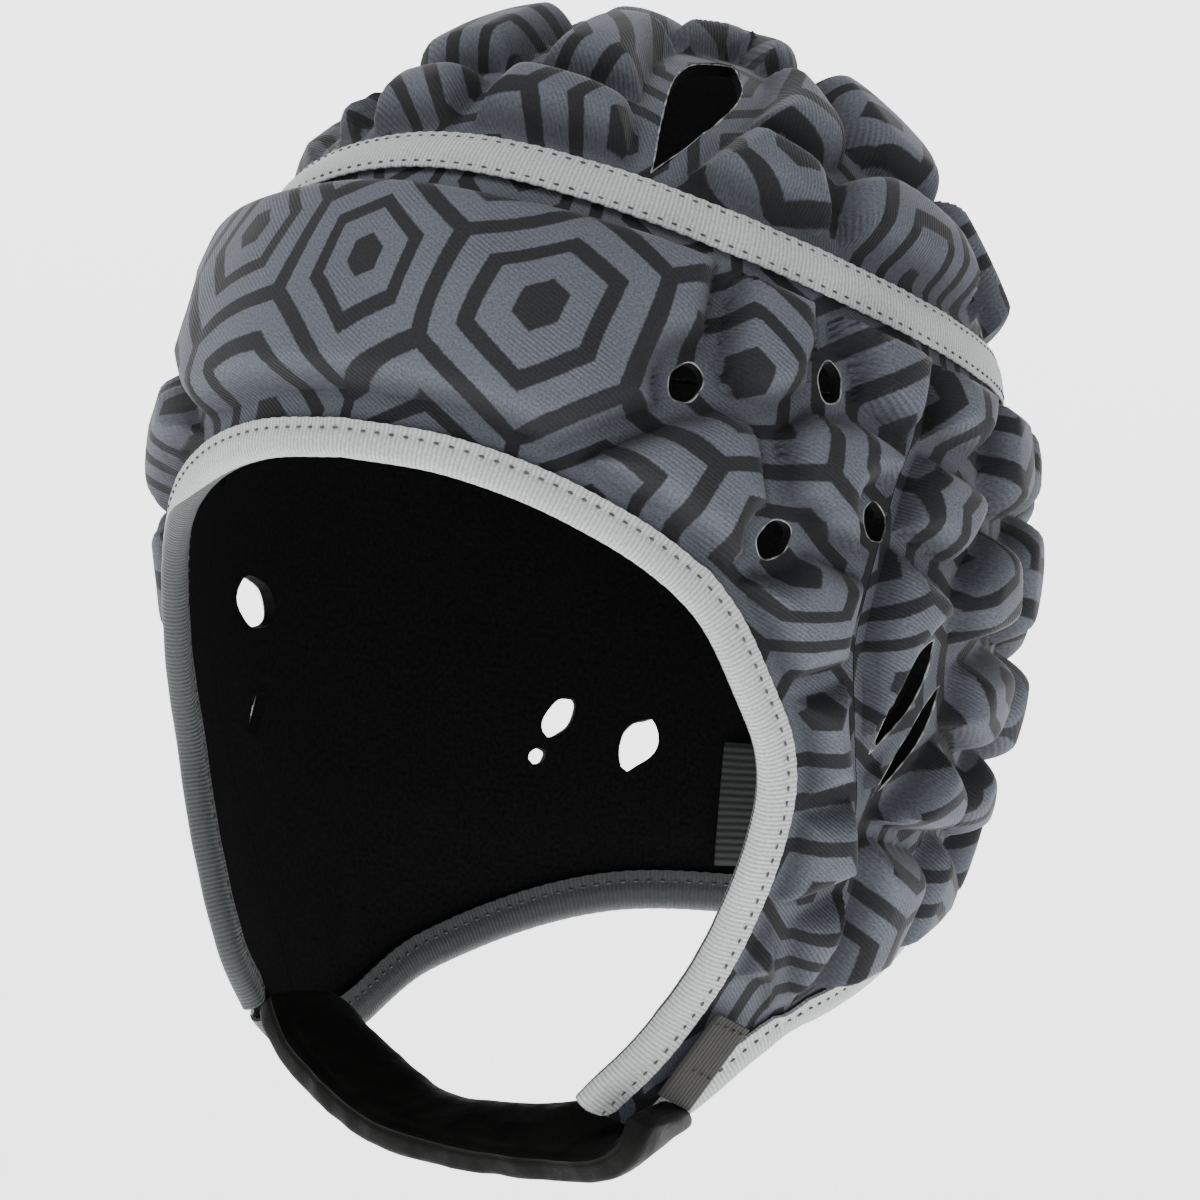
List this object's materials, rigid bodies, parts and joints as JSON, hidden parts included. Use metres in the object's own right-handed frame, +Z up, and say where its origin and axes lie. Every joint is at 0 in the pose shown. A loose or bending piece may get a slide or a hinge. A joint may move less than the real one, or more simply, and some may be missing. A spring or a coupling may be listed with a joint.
{
  "type": "rugby scrum cap",
  "caption": "Padded rugby scrum cap in printed grey knit: domed crown, forehead and rear panels with vents, pale binding tapes and a black chin strap.",
  "frame": {"origin": "top of the inside of the crown, where the cap sits on the head", "axes": "+Z up, the face looks along -Y, the wearer's left is +X"},
  "size_m": [0.189, 0.2157, 0.2526],
  "materials": {
    "printed_knit_front": "matt knit over foam pads",
    "printed_knit_rear": "matt knit over foam pads",
    "printed_knit_crown": "matt knit over foam pads",
    "tape": "ribbed woven tape",
    "face_binding": "ribbed woven binding",
    "neck_binding": "ribbed woven binding",
    "chin_strap": "soft faux leather over foam, satin",
    "strap_tab": "dark webbing",
    "nape_patch": "dark ribbed webbing"
  },
  "bodies": {
    "root": {"front_panel": "printed_knit_front", "rear_panel": "printed_knit_rear", "crown_panel": "printed_knit_crown", "crown_tape": "tape", "face_binding": "face_binding", "neck_binding": "neck_binding", "chin_strap": "chin_strap", "strap_tab": "strap_tab", "nape_patch": "nape_patch"}
  },
  "joints": []
}
